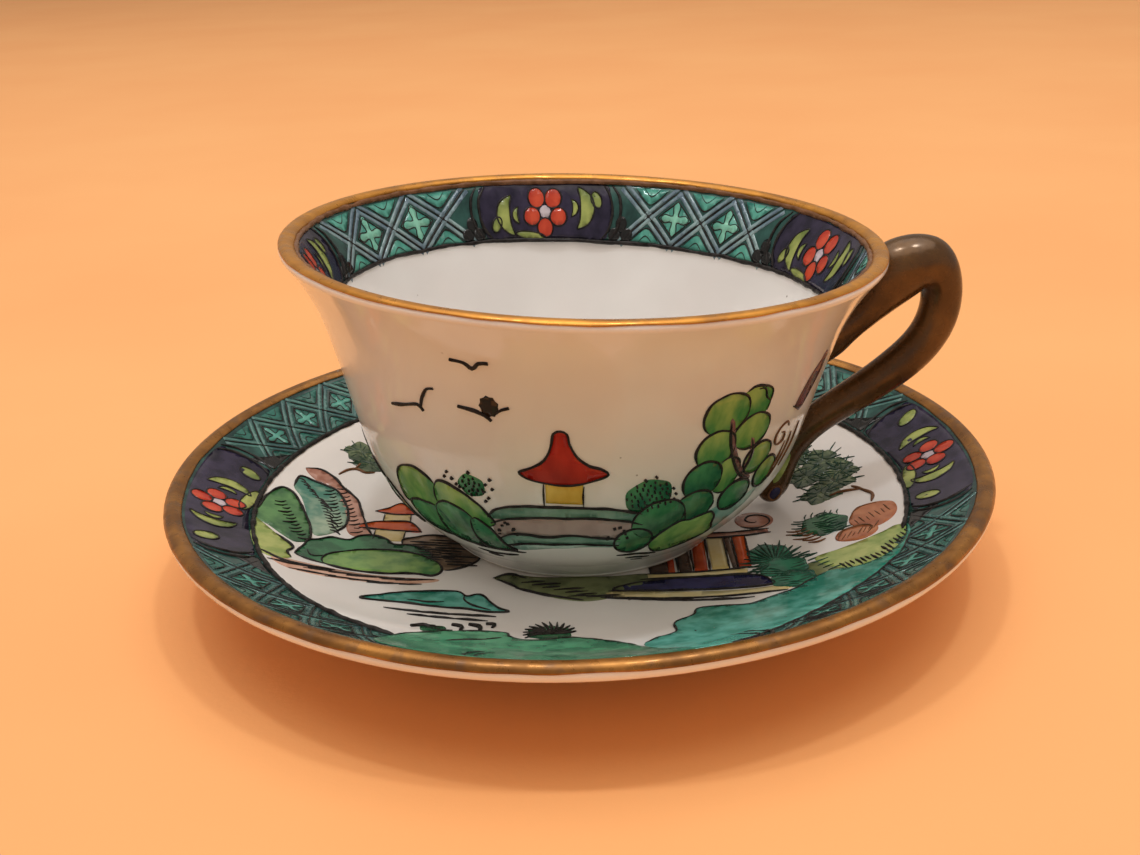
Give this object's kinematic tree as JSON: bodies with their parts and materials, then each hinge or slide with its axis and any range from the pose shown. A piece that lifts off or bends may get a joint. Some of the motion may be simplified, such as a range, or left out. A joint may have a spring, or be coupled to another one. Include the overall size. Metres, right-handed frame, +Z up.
{
  "type": "miniature cup and saucer",
  "caption": "Miniature porcelain teacup with a flared bowl, bent rod handle and turned foot ring, standing on a dished saucer with a foot ring.",
  "frame": {"origin": "centre of the saucer's foot ring, on the surface that the saucer stands on", "axes": "+Z up; +X from the middle of the cup towards its handle; the painted front of the cup faces -Y"},
  "size_m": [0.0668, 0.0668, 0.0287],
  "materials": {
    "glazed_porcelain": "glossy",
    "gilt_handle": "glossy bronze-gilt enamel over glaze"
  },
  "bodies": {
    "saucer": {"saucer": "glazed_porcelain"},
    "cup": {"cup_bowl": "glazed_porcelain", "cup_handle": "gilt_handle"}
  },
  "joints": [
    {"name": "cup_lift", "type": "slide", "parent": "saucer", "child": "cup", "axis": [0, 0, 1], "range_m": [0, 0.045]}
  ]
}
